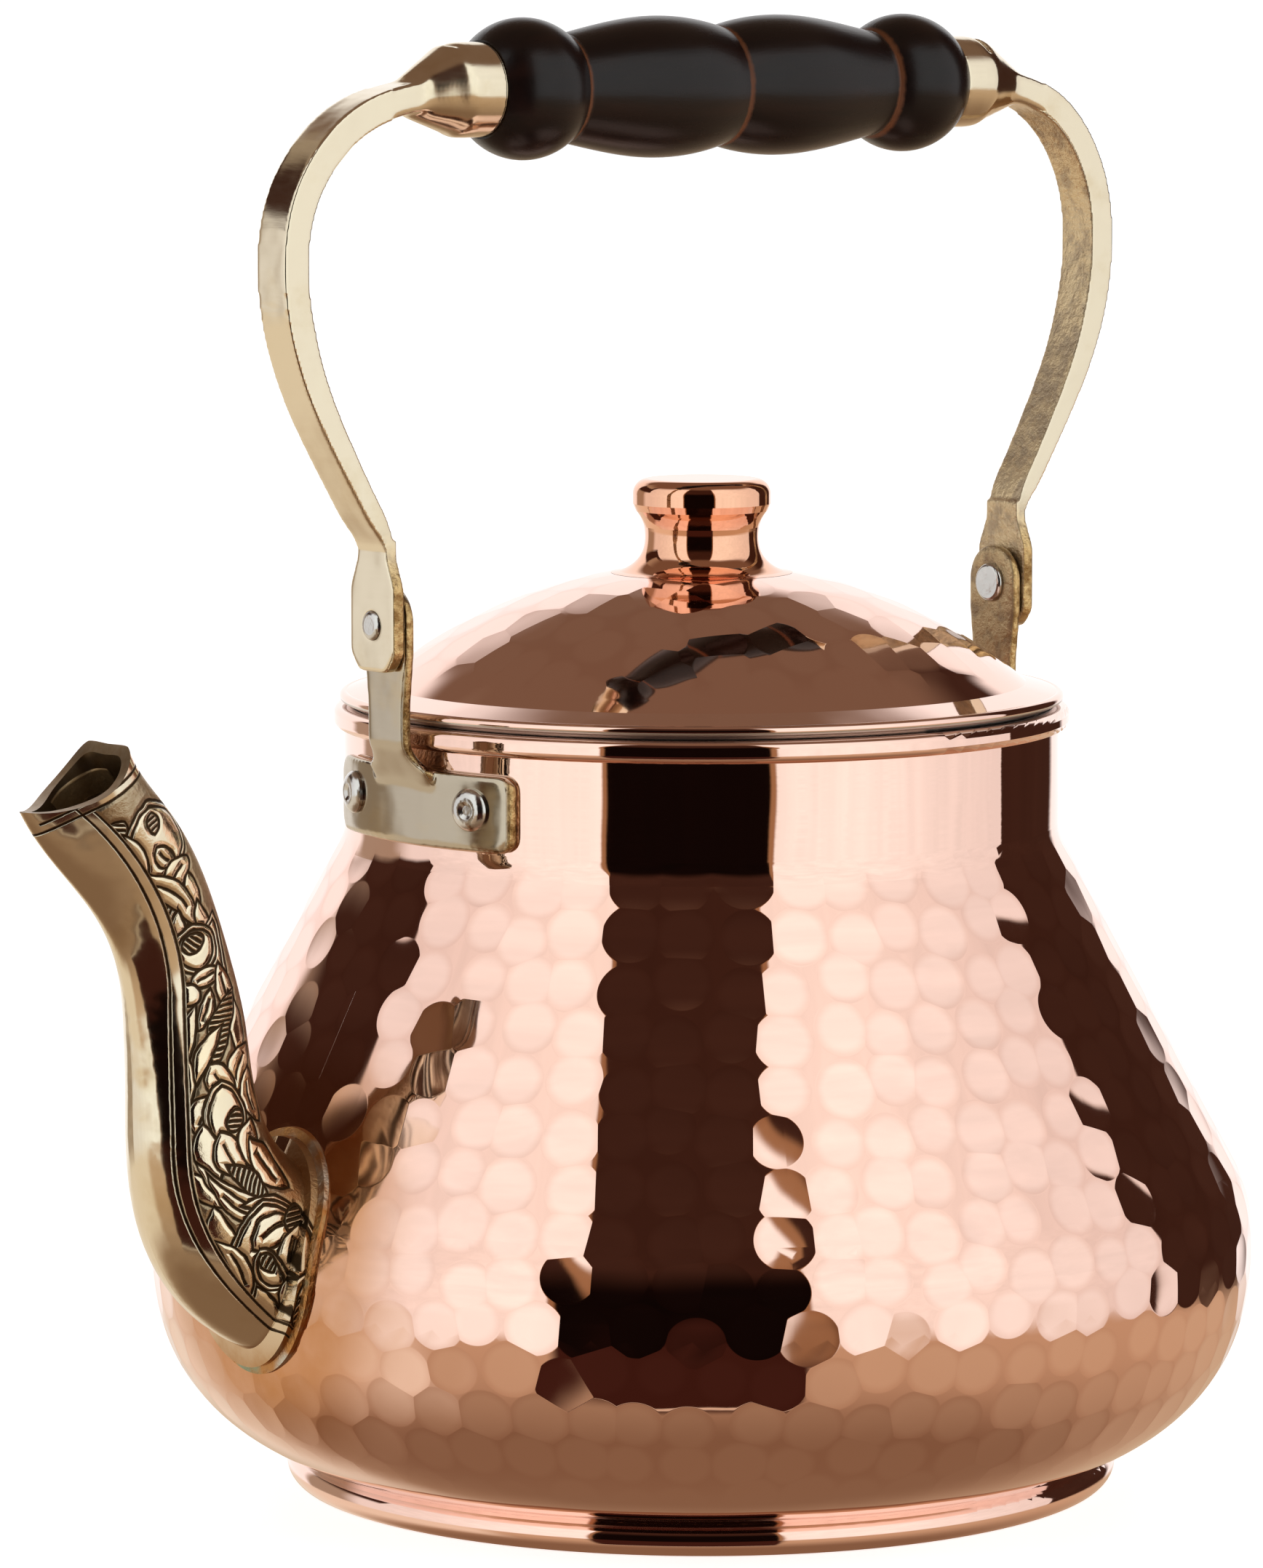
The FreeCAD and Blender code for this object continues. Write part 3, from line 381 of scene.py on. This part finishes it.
def chasedBrass(finish):
    place = finish.objectPlace()
    x, y, z = finish.split(place)
    facing = finish.split(finish.node("TexCoord", {}, {}, 1))
    x, y, z = x * 1000.0, y * 1000.0, z * 1000.0
    wobble = finish.split(finish.noise(place, 190.0, 2.0, 0.5, 1))
    lines, cover = chasedLeaves(x + (wobble[0] - 0.5) * 1.5, z + (wobble[1] - 0.5) * 1.5)
    inward = insideBorder(x, z)
    lean = math.radians(chasing["mouthLean"])
    mouthX, mouthZ = chasing["mouth"]
    fromMouth = (x - mouthX) * math.cos(lean) - (z - mouthZ) * math.sin(lean)
    aside = (x - mouthX) * math.sin(lean) + (z - mouthZ) * math.cos(lean)
    outward = aside * (facing[0] * math.sin(lean) + facing[2] * math.cos(lean)) + y * facing[1]
    inside = (1 - finish.step(outward, 0.0, 1.0)) * (1 - finish.step(fromMouth, 12.0, 14.0))
    onFlank = finish.step(y.calc("ABSOLUTE"), *chasing["ridgeEdge"])
    panel = finish.step(inward, 0.0, 0.4) * finish.step(fromMouth, 4.2, 4.8) * onFlank
    within = panel * finish.step(inward, 2.0, 2.3)
    hidden = chasing["hidden"]
    lowCollar, highCollar = chasing["collarLines"]
    lines = lines + (1 - within) * hidden
    lines = lines.calc("MINIMUM", (inward - chasing["borderGap"]).calc("ABSOLUTE") + (1 - panel) * hidden)
    lines = lines.calc("MINIMUM", inward.calc("ABSOLUTE") + (1 - onFlank) * hidden)
    lines = lines.calc("MINIMUM", (fromMouth - lowCollar).calc("ABSOLUTE"))
    lines = lines.calc("MINIMUM", (fromMouth - highCollar).calc("ABSOLUTE") + (1 - onFlank) * hidden)
    lines = lines + inside * hidden
    width = chasing["width"]
    uneven = finish.noise(place, 700.0, 2.0) * 0.16 - 0.08
    cut = 1 - finish.step(lines + uneven, width * 0.5, width * 1.4)
    ground = finish.step(cover, 0.0, 0.3) * within
    pillow = finish.step(lines, 0.0, 0.9) * within
    stipple = finish.noise(place, 1500.0, 2.0, 0.7)
    grit = finish.noise(place, 520.0, 4.0, 0.65)
    tarnish = finish.step(finish.noise(place, 60.0, 5.0, 0.6), 0.48, 0.72)
    height = (1 - cut) * (0.75 - ground * 0.35) + pillow * 0.9 + stipple * ground * 0.4 + grit * within * 0.30
    ripple = finish.bump(finish.noise(place, 90.0, 2.0), 0.6, 0.0006)
    carved = finish.bump(height, 1.0, chasing["depth"], ripple)
    pale = finish.mix(tarnish * 0.35, brassLook["pale"], brassLook["warm"])
    pale = finish.mix(within * (0.25 + tarnish * 0.5), pale, chasing["gold"])
    toneAndShade = finish.mix(ground * (1 - stipple * 0.6), pale, chasing["ground"])
    fromAxis = (x * x + y * y).calc("SQRT")
    # painted shade: the flange where it hugs the belly is darkened orange-brown
    flange = (1 - finish.step(fromAxis, *chasing["flangeShadeEdge"])) * (0.65 + tarnish * 0.3)
    toneAndShade = finish.mix(flange, toneAndShade, chasing["flange"])
    # painted shade: the inside of the mouth is darkened brown
    toneAndShade = finish.mix(inside * (0.55 + grit * 0.5), toneAndShade, chasing["mouthShade"])
    dull = ground * 0.20 + cut * 0.30 + within * 0.05 + inside * 0.25 + (grit - 0.5) * 0.10
    return {
        # the cuts are darkened: dirt in them, and painted shade for their depth
        "Base Color": finish.mix(cut, toneAndShade, brassLook["lineDirtAndShade"]),
        "Roughness": brassLook["rough"] - 0.03 + dull,
        "Normal": carved,
    }


solderLook = {"grey": (0.62, 0.58, 0.50, 1), "brown": (0.55, 0.27, 0.09, 1), "green": (0.30, 0.36, 0.24, 1)}


# the seam under the flange: grey solder, browned and greened by heat and flux
def solderSeam(finish):
    place = finish.objectPlace()
    lumps = finish.noise(place, 260.0, 4.0, 0.65)
    stain = finish.noise(place, 90.0, 3.0)
    colour = finish.mix(finish.step(stain, 0.40, 0.55), solderLook["grey"], solderLook["brown"])
    colour = finish.mix(finish.step(stain, 0.58, 0.68), colour, solderLook["green"])
    return {"Base Color": colour, "Roughness": 0.25 + lumps * 0.3, "Normal": finish.bump(lumps, 0.9, 0.0006)}


woodLook = {
    "dark": (0.0030, 0.0020, 0.0020, 1), "brown": (0.017, 0.0052, 0.0030, 1), "burn": (0.16, 0.048, 0.013, 1),
    "lines": (-0.0307, 0.0030, 0.0367), "lineEdge": (0.0001, 0.0008),
    "polish": {"IOR": 1.35, "Coat Weight": 0.06, "Coat Roughness": 0.12},
}


def darkWood(finish):
    place = finish.objectPlace()
    x, y, z = finish.split(place)
    grain = finish.noise(finish.stretched(place, (45.0, 900.0, 900.0)), 1.0, 5.0, 0.65)
    bands = finish.step(finish.noise(finish.stretched(place, (12.0, 140.0, 140.0)), 1.0, 3.0), 0.50, 0.72)
    bloom = finish.noise(place, 90.0, 4.0)
    burnt = None
    for spot in woodLook["lines"]:
        line = 1 - finish.step((x - spot).calc("ABSOLUTE") + (grain - 0.5) * 0.0006, *woodLook["lineEdge"])
        burnt = line if burnt is None else burnt.calc("MAXIMUM", line)
    tone = finish.mix(grain * 0.5 + bands * 0.4, woodLook["dark"], woodLook["brown"])
    pores = finish.step(grain, 0.62, 0.75)
    return {
        "Base Color": finish.mix(burnt * (0.35 + bloom * 0.7), tone, woodLook["burn"]),
        "Roughness": 0.27 + (bloom - 0.5) * 0.16 + burnt * 0.2,
        "Normal": finish.bump(grain - pores * 0.5, 0.25, 0.00012),
    }


steelLook = {"dark": (0.55, 0.53, 0.50, 1), "pale": (0.78, 0.76, 0.73, 1)}


def rivetSteel(finish):
    marks = finish.noise(finish.objectPlace(), 500.0, 3.0)
    return {
        "Base Color": finish.mix(marks, steelLook["dark"], steelLook["pale"]),
        "Roughness": 0.18 + (marks - 0.5) * 0.2,
        "Normal": finish.bump(marks, 0.5, 0.0002),
    }


metal = {"Metallic": 1.0}
materials = {
    "hammered": newMaterial("hammeredCopper", metal, hammeredCopper),
    "turned": newMaterial("turnedCopper", metal, turnedCopper),
    "lid": newMaterial("lidCopper", metal, lidCopper),
    "filed": newMaterial("filedBrass", metal, filedBrass),
    "aged": newMaterial("agedBrass", metal, agedBrass),
    "chased": newMaterial("chasedBrass", metal, chasedBrass),
    "wood": newMaterial("darkWood", woodLook["polish"], darkWood),
    "steel": newMaterial("rivetSteel", metal, rivetSteel),
    "solder": newMaterial("solderSeam", metal, solderSeam),
}
print("materials made:", len(materials))

dressing = {
    "hammered": ["body_shell"], "turned": ["base_pan", "lid_collar", "lid_knob"], "lid": ["lid_shell"],
    "chased": ["spout"], "solder": ["spout_solder"], "aged": ["front_bracket", "rear_bracket"],
    "filed": ["front_arm", "rear_arm"], "wood": ["grip"],
    "steel": ["rim_wire", "front_bracket_rivets", "rear_bracket_rivets", "front_pivot_rivet",
              "rear_pivot_rivet", "tie_rod", "knob_washer", "knob_screw"],
}
for look, names in dressing.items():
    for name in names:
        slots = nodes[name].data.materials
        if not slots:
            slots.append(materials[look])
        for place in range(len(slots)):
            slots[place] = materials[look]
print("pieces dressed:", sum(len(names) for names in dressing.values()))


# sand castings have soft edges, and the tapers behind the arms' ferrules are blended into them
casting = {
    "seam": 0.000005, "grain": 0.00034,
    "softening": 6, "softeningPull": 0.5, "blending": 40, "blendingPull": 0.6,
    "taperFrom": 0.0545, "taperTo": 0.0710, "taperAbove": 0.222, "gripOffset": 0.003,
    "bodies": {"front_bracket": "vessel", "rear_bracket": "vessel", "front_arm": "bail", "rear_arm": "bail"},
}


def pickOnly(piece):
    bpy.ops.object.select_all(action="DESELECT")
    piece.select_set(True)
    bpy.context.view_layer.objects.active = piece


def smoothed(piece, pull, passes, group=""):
    modifier = piece.modifiers.new("smooth", "SMOOTH")
    modifier.factor = pull
    modifier.iterations = passes
    modifier.vertex_group = group
    bpy.ops.object.modifier_apply(modifier=modifier.name)


def inTaper(spot):
    return spot.z > casting["taperAbove"] and (
        casting["taperFrom"] < abs(spot.x - casting["gripOffset"]) < casting["taperTo"])


def castCopy(name):
    piece = nodes[name].copy()
    piece.data = nodes[name].data.copy()
    piece.name = name + "_cast"
    bpy.context.scene.collection.objects.link(piece)
    pickOnly(piece)
    bpy.ops.object.mode_set(mode="EDIT")
    bpy.ops.mesh.select_all(action="SELECT")
    bpy.ops.mesh.remove_doubles(threshold=casting["seam"])
    bpy.ops.object.mode_set(mode="OBJECT")
    remesh = piece.modifiers.new("skin", "REMESH")
    remesh.mode = "VOXEL"
    remesh.voxel_size = casting["grain"]
    remesh.use_smooth_shade = True
    bpy.ops.object.modifier_apply(modifier=remesh.name)
    smoothed(piece, casting["softeningPull"], casting["softening"])
    taper = piece.vertex_groups.new(name="taper")
    taper.add([v.index for v in piece.data.vertices if inTaper(v.co)], 1.0, "REPLACE")
    smoothed(piece, casting["blendingPull"], casting["blending"], taper.name)
    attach(piece, casting["bodies"][name])
    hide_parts(name)


for name in casting["bodies"]:
    castCopy(name)
print("castings softened")


studio = {
    "cameraTurn": -38.0, "cameraAway": 1.2734, "cameraUp": 0.2683, "lookTurn": -0.0095, "lookDown": 0.1156,
    "lens": 170.0, "nearClip": 0.05, "floorReach": 5.0, "floorDrop": 0.0002, "floorGlow": 0.75,
}
bpy.ops.object.select_all(action="DESELECT")
bpy.ops.mesh.primitive_circle_add(vertices=96, radius=studio["floorReach"], fill_type="NGON",
                                  location=(0, 0, -studio["floorDrop"]))
floor = bpy.context.object
floor.name = "floor"
floor.visible_glossy = False  # the polished copper sees the table colours of the room light instead


def paleFloor(finish):
    cloud = finish.noise(finish.objectPlace(), 1.2, 2.0)
    return {"Base Color": finish.mix(cloud, (0.90, 0.90, 0.90, 1), (0.93, 0.93, 0.93, 1)),
            "Emission Color": (1, 1, 1, 1)}


floorPolish = {"Roughness": 0.6, "Emission Strength": studio["floorGlow"]}
floor.data.materials.append(newMaterial("paleFloor", floorPolish, paleFloor))

# colours of the light room, and the angles in degrees that its parts fill, round from the camera and up
roomColours = {
    "mainBox": (1.16, 1.20, 1.19), "sideBox": (0.93, 0.92, 0.92), "boxEdge": (0.36, 0.20, 0.10),
    "backdrop": (1.12, 1.10, 1.10), "ceiling": (0.200, 0.124, 0.083), "sweepDim": (0.40, 0.32, 0.24),
    "room": (0.062, 0.0265, 0.0172), "roomLow": (0.0032, 0.0020, 0.0016), "roomCloud": (0.012, 0.004, 0.003),
    "tableFar": (0.62, 0.45, 0.30), "tableNear": (0.250, 0.154, 0.093), "tableLeft": (0.88, 0.78, 0.64),
    "tableRim": (0.80, 0.66, 0.50), "wedgeLow": (0.05, 0.015, 0.010), "seen": (1.1, 1.1, 1.1),
}
roomAngles = {
    "rightBox": (23, 112), "leftBox": (-100, -31), "rightEdge": (21.2, 112), "leftEdge": (-100, -29.4),
    "frontGap": (-31, 23), "backdrop": (-139, 153), "lowLeft": (-142, -98), "highLeft": (-150, -108),
    "leftTable": (-170, -62), "ceiling": (52, 66), "ceilingSides": (40, 110), "ceilingDrop": 18.0,
    "roomUp": (16, 32), "backdropUp": (26, 36), "lowLeftUp": (10, 17), "highLeftUp": (30, 34),
    "tableDown": (10, 15), "tableFade": (14, 60), "leftTableFade": (26, 46), "wedgeDown": (40, 44),
    "rim": (39.4, 40.6), "rightFade": (40, 112), "leftFade": (38, 105), "sweepFade": (106, 118),
}


def lightRoom():
    world = bpy.data.worlds.new("studio")
    bpy.context.scene.world = world
    world.use_nodes = True
    tree = world.node_tree
    room = Finish(tree)
    background = next(n for n in tree.nodes if n.type == "BACKGROUND")
    facing = math.radians(studio["cameraTurn"])
    direction = room.node("TexCoord", {}, {}, 0)
    x, y, z = room.split(direction)
    near = x * math.sin(facing) - y * math.cos(facing)
    right = x * math.cos(facing) + y * math.sin(facing)
    around = right.calc("ARCTAN2", near) * (180 / math.pi)
    up = z.calc("ARCSINE") * (180 / math.pi)
    below = up * -1.0

    def rise(signal, name):
        return room.step(signal, *roomAngles[name])

    def band(signal, limits, soft):
        low, high = limits
        return room.step(signal, low - soft, low + soft) * (1 - room.step(signal, high - soft, high + soft))

    def shade(name):
        return (*roomColours[name], 1)

    haze = room.noise(direction, 2.2, 2.0) * 0.18 + room.noise(direction, 11.0, 3.0, 0.6) * 0.30 + 0.76
    hazy = room.join(haze, haze, haze)

    def softBox(fade):
        return room.mix(1.0, room.mix(fade, shade("mainBox"), shade("sideBox")), hazy, "MULTIPLY")

    # the dark room behind the camera
    sides = 1 - band(around, roomAngles["frontGap"], 2.0)
    dark = room.mix(rise(up, "roomUp").calc("MAXIMUM", sides), shade("roomLow"), shade("room"))
    light = room.mix(room.noise(direction, 5.0, 3.0) * 0.5, dark, shade("roomCloud"))
    # two tall soft boxes with brown edges
    rightBox, leftBox = softBox(rise(around, "rightFade")), softBox(rise(around * -1.0, "leftFade"))
    light = room.mix(band(around, roomAngles["rightEdge"], 0.5), light, shade("boxEdge"))
    light = room.mix(band(around, roomAngles["rightBox"], 0.5), light, rightBox)
    light = room.mix(band(around, roomAngles["leftEdge"], 0.5), light, shade("boxEdge"))
    light = room.mix(band(around, roomAngles["leftBox"], 0.5), light, leftBox)
    # the pale sweep on the left, the backdrop and the ceiling
    sweep = room.mix(rise(around * -1.0, "sweepFade"), shade("sideBox"), shade("sweepDim"))
    light = room.mix(band(around, roomAngles["lowLeft"], 2.0) * (1 - rise(up, "lowLeftUp")), light, sweep)
    highLeft = band(around, roomAngles["highLeft"], 2.0) * rise(up, "highLeftUp")
    light = room.mix(highLeft, light, shade("sweepDim"))
    backdrop = room.mix(rise(up, "backdropUp"), shade("backdrop"), shade("ceiling"))
    light = room.mix(1 - band(around, roomAngles["backdrop"], 3.0), light, backdrop)
    lowered = up + rise(around.calc("ABSOLUTE"), "ceilingSides") * roomAngles["ceilingDrop"]
    light = room.mix(rise(lowered, "ceiling"), light, shade("ceiling"))
    # the table, dark in front and pale on the left
    table = room.mix(rise(below, "tableFade"), shade("tableFar"), shade("tableNear"))
    front = room.mix(rise(below, "wedgeDown"), shade("wedgeLow"), table)
    front = room.mix(band(below, roomAngles["rim"], 0.5), front, shade("tableRim"))
    leftTable = room.mix(rise(below, "leftTableFade"), shade("tableLeft"), table)
    table = room.mix(band(around, roomAngles["leftTable"], 8.0), table, leftTable)
    table = room.mix(band(around, roomAngles["frontGap"], 1.5), table, front)
    light = room.mix(rise(below, "tableDown"), light, table)
    seen = room.node("LightPath", {}, {}, 0)
    light = room.mix(seen, light, shade("seen"))
    tree.links.new(light.socket, background.inputs["Color"])


lightRoom()
print("light room made")

turn = math.radians(studio["cameraTurn"])
ahead = Vector((-math.sin(turn), math.cos(turn), 0))
across = Vector((math.cos(turn), math.sin(turn), 0))
down, side = studio["lookDown"], studio["lookTurn"]
level = across * math.sin(side) + ahead * math.cos(side)
aim = level * math.cos(down) - Vector((0, 0, math.sin(down)))
cameraData = bpy.data.cameras.new("camera")
cameraData.lens = studio["lens"]
cameraData.clip_start = studio["nearClip"]
camera = bpy.data.objects.new("camera", cameraData)
bpy.context.scene.collection.objects.link(camera)
camera.location = ahead * -studio["cameraAway"] + Vector((0, 0, studio["cameraUp"]))
camera.rotation_euler = aim.to_track_quat("-Z", "Y").to_euler()
bpy.context.scene.camera = camera
bpy.context.scene.view_settings.view_transform = "Standard"
print("camera set")
